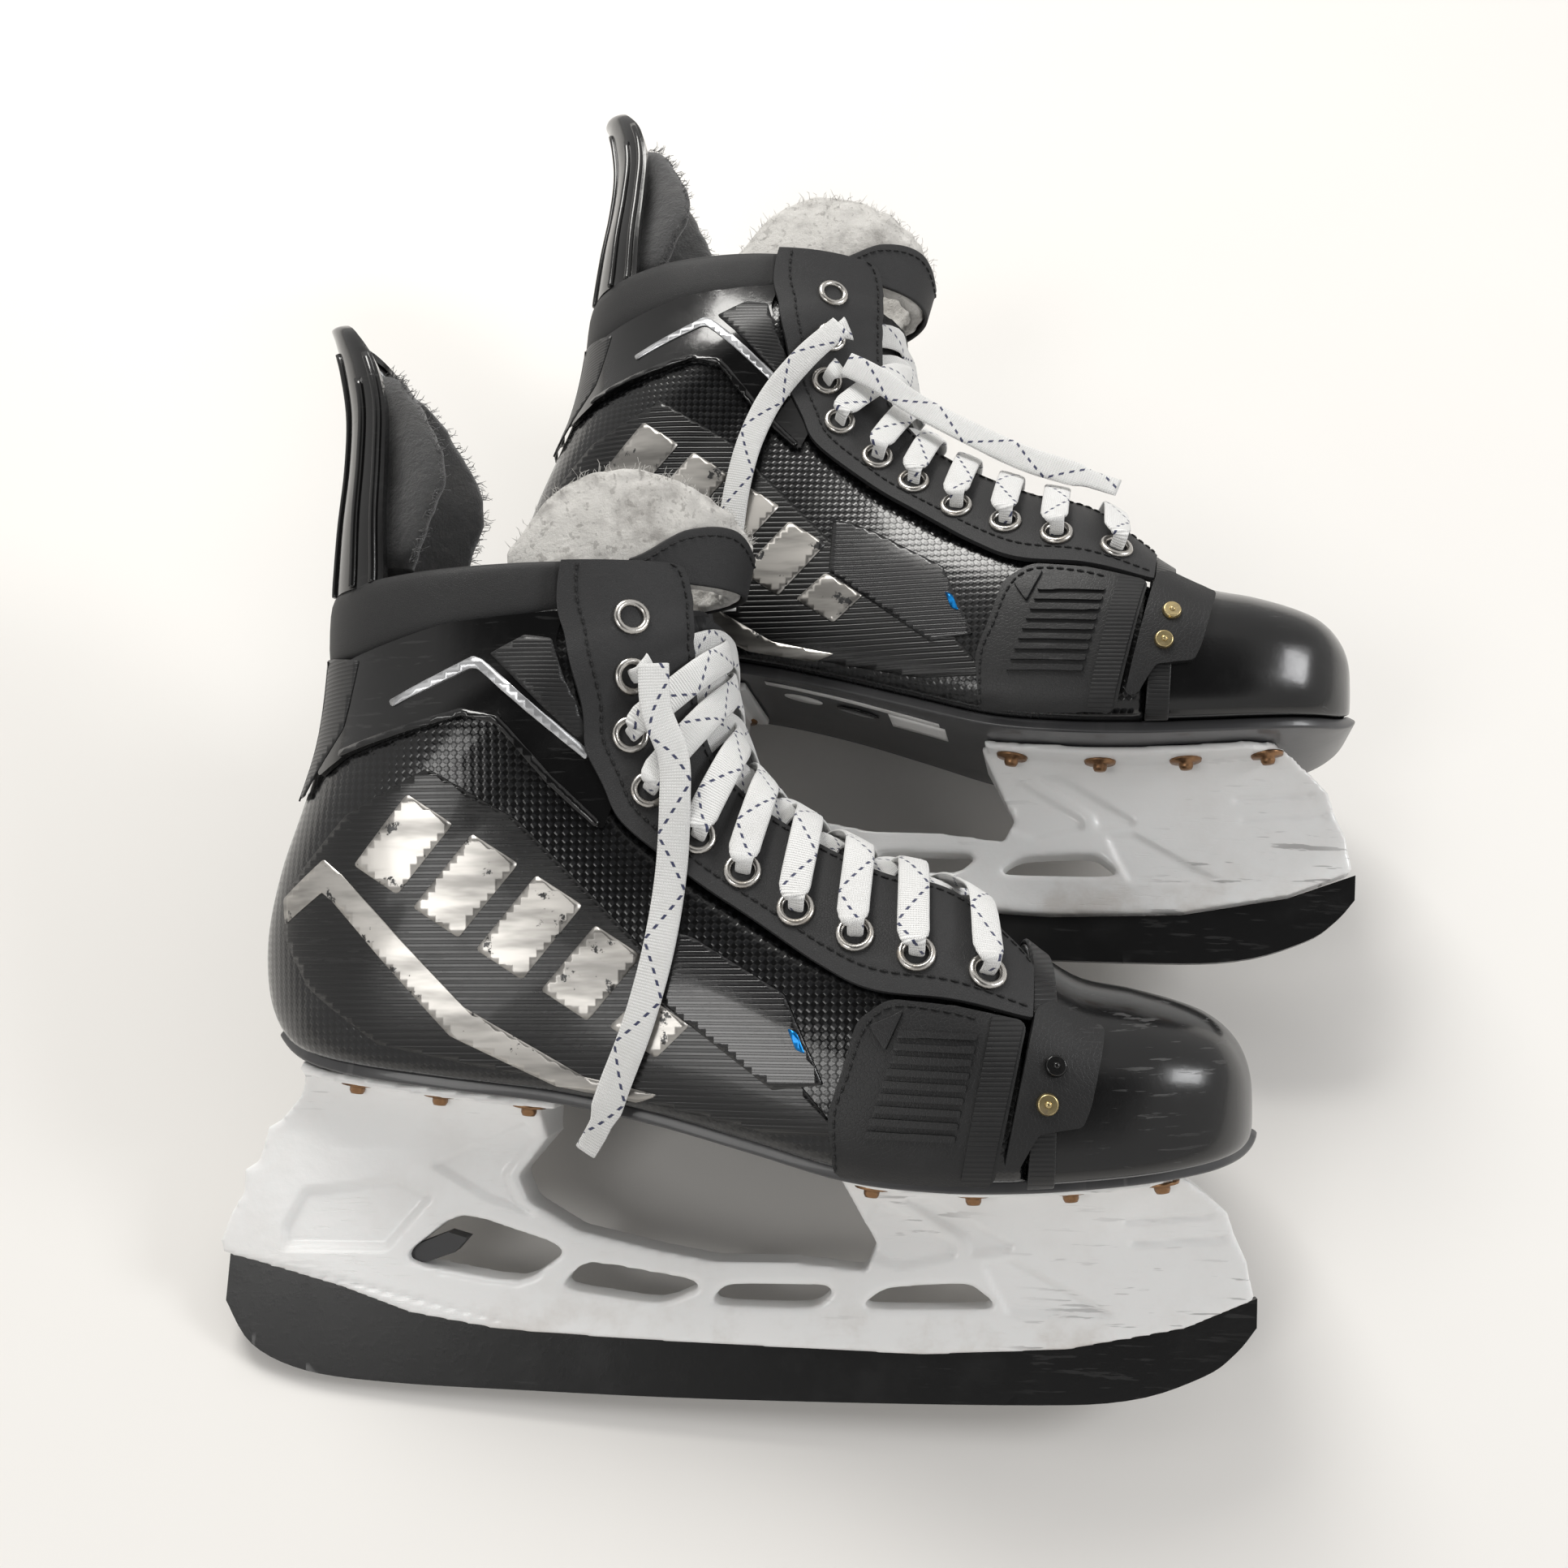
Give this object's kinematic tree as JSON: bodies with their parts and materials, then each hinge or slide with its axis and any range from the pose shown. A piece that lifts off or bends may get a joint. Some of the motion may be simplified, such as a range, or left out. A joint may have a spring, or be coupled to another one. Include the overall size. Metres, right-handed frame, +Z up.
{
  "type": "ice hockey skates",
  "caption": "Pair of laced ice hockey skates lying on their sides: moulded boots with felt tongues, white blade holders with quick-release triggers and black steel runners.",
  "frame": {"origin": "bottom centre of the bounding box of the pair as it lies, on the surface that it lies on, without the free lace ends", "axes": "+Z up; both toes point roughly along +X; the soles face -Y and the boot openings face +Y"},
  "size_m": [0.3388, 0.444, 0.1518],
  "materials": {
    "gloss_shell": "glossy black moulded composite with a faint woven pattern",
    "toe_plastic": "black moulded plastic, satin to gloss, scuffed",
    "matt_leather": "matte charcoal synthetic leather with stitched edges",
    "collar_leather": "smooth matte padded synthetic leather",
    "black_lining": "dark brushed lining",
    "tongue_felt": "white-grey felt, fuzzy and a little soiled",
    "guard_rubber": "matte black ribbed rubber",
    "eyelet_metal": "bright rolled eyelets",
    "grey_outsole": "grey composite sole board, satin",
    "white_plastic": "white moulded nylon, scuffed",
    "black_steel": "black coated steel with a slight sheen",
    "trigger_plastic": "black moulded plastic",
    "pin_steel": "plain steel",
    "rivet_bronze": "brown-bronze rivet heads",
    "lace_webbing": "white flat woven lace with a dark dotted tracer"
  },
  "bodies": {
    "left_boot": {"left_outsole": "grey_outsole", "left_boot_shell": "gloss_shell", "left_liner": "black_lining", "left_toe_cap": "toe_plastic", "left_footbed": "black_lining", "left_facing_lateral": "matt_leather", "left_facing_medial": "matt_leather", "left_eyelets_lateral": "eyelet_metal", "left_eyelets_medial": "eyelet_metal", "left_forefoot_guard_lateral": "guard_rubber", "left_forefoot_guard_medial": "guard_rubber", "left_ankle_wing_lateral": "gloss_shell", "left_ankle_wing_medial": "gloss_shell", "left_toe_clip_lateral": "toe_plastic", "left_toe_clip_medial": "toe_plastic", "left_collar_pad": "collar_leather", "left_tongue_lower": "black_lining", "left_holder": "white_plastic", "left_trigger_pin": "pin_steel", "left_trigger_spring": "pin_steel", "left_holder_rivets": "rivet_bronze", "left_lace": "lace_webbing", "left_lace_end_upper": "lace_webbing", "left_lace_end_lower": "lace_webbing"},
    "left_runner": {"left_runner": "black_steel"},
    "left_trigger": {"left_trigger": "trigger_plastic"},
    "left_tongue": {"left_tongue_upper": "tongue_felt", "left_tongue_cover": "matt_leather"},
    "left_tendon": {"left_tendon_guard": "gloss_shell", "left_tendon_pad": "black_lining"},
    "right_boot": {"right_outsole": "grey_outsole", "right_boot_shell": "gloss_shell", "right_liner": "black_lining", "right_toe_cap": "toe_plastic", "right_footbed": "black_lining", "right_facing_lateral": "matt_leather", "right_facing_medial": "matt_leather", "right_eyelets_lateral": "eyelet_metal", "right_eyelets_medial": "eyelet_metal", "right_forefoot_guard_lateral": "guard_rubber", "right_forefoot_guard_medial": "guard_rubber", "right_ankle_wing_lateral": "gloss_shell", "right_ankle_wing_medial": "gloss_shell", "right_toe_clip_lateral": "toe_plastic", "right_toe_clip_medial": "toe_plastic", "right_collar_pad": "collar_leather", "right_tongue_lower": "black_lining", "right_holder": "white_plastic", "right_trigger_pin": "pin_steel", "right_trigger_spring": "pin_steel", "right_holder_rivets": "rivet_bronze", "right_lace": "lace_webbing", "right_lace_end": "lace_webbing"},
    "right_runner": {"right_runner": "black_steel"},
    "right_trigger": {"right_trigger": "trigger_plastic"},
    "right_tongue": {"right_tongue_upper": "tongue_felt", "right_tongue_cover": "matt_leather"},
    "right_tendon": {"right_tendon_guard": "gloss_shell", "right_tendon_pad": "black_lining"}
  },
  "joints": [
    {"name": "right_boot_lift", "type": "slide", "parent": "left_boot", "child": "right_boot", "axis": [0, 0, 1], "range_m": [0, 0.25]},
    {"name": "left_runner_release", "type": "hinge", "parent": "left_boot", "child": "left_runner", "pos_m": [0.15972, -0.06914, 0.05191], "axis": [-0.1853, -0.2886, 0.9393], "range_deg": [0, 1.5]},
    {"name": "left_trigger_pull", "type": "hinge", "parent": "left_boot", "child": "left_trigger", "pos_m": [-0.07252, -0.03919, 0.01529], "axis": [-0.1853, -0.2886, 0.9393], "range_deg": [0, 8], "stiffness_Nm_per_rad": 0.6},
    {"name": "left_tongue_flex", "type": "hinge", "parent": "left_boot", "child": "left_tongue", "pos_m": [0.02625, 0.12499, 0.08522], "axis": [0.1853, 0.2886, -0.9393], "range_deg": [-8, 25], "stiffness_Nm_per_rad": 1.2},
    {"name": "left_tendon_flex", "type": "hinge", "parent": "left_boot", "child": "left_tendon", "pos_m": [-0.07327, 0.14392, 0.0714], "axis": [-0.1853, -0.2886, 0.9393], "range_deg": [-8, 25], "stiffness_Nm_per_rad": 4},
    {"name": "right_runner_release", "type": "hinge", "parent": "right_boot", "child": "right_runner", "pos_m": [0.11416, -0.19088, 0.03682], "axis": [-0.0857, -0.4435, 0.8922], "range_deg": [0, 2]},
    {"name": "right_trigger_pull", "type": "hinge", "parent": "right_boot", "child": "right_trigger", "pos_m": [-0.12197, -0.18129, 0.01889], "axis": [-0.0857, -0.4435, 0.8922], "range_deg": [0, 8], "stiffness_Nm_per_rad": 0.6},
    {"name": "right_tongue_flex", "type": "hinge", "parent": "right_boot", "child": "right_tongue", "pos_m": [-0.03499, -0.01956, 0.10765], "axis": [0.0857, 0.4435, -0.8922], "range_deg": [-8, 25], "stiffness_Nm_per_rad": 1.2},
    {"name": "right_tendon_flex", "type": "hinge", "parent": "right_boot", "child": "right_tendon", "pos_m": [-0.13664, -0.00974, 0.10276], "axis": [-0.0857, -0.4435, 0.8922], "range_deg": [-8, 25], "stiffness_Nm_per_rad": 4}
  ]
}
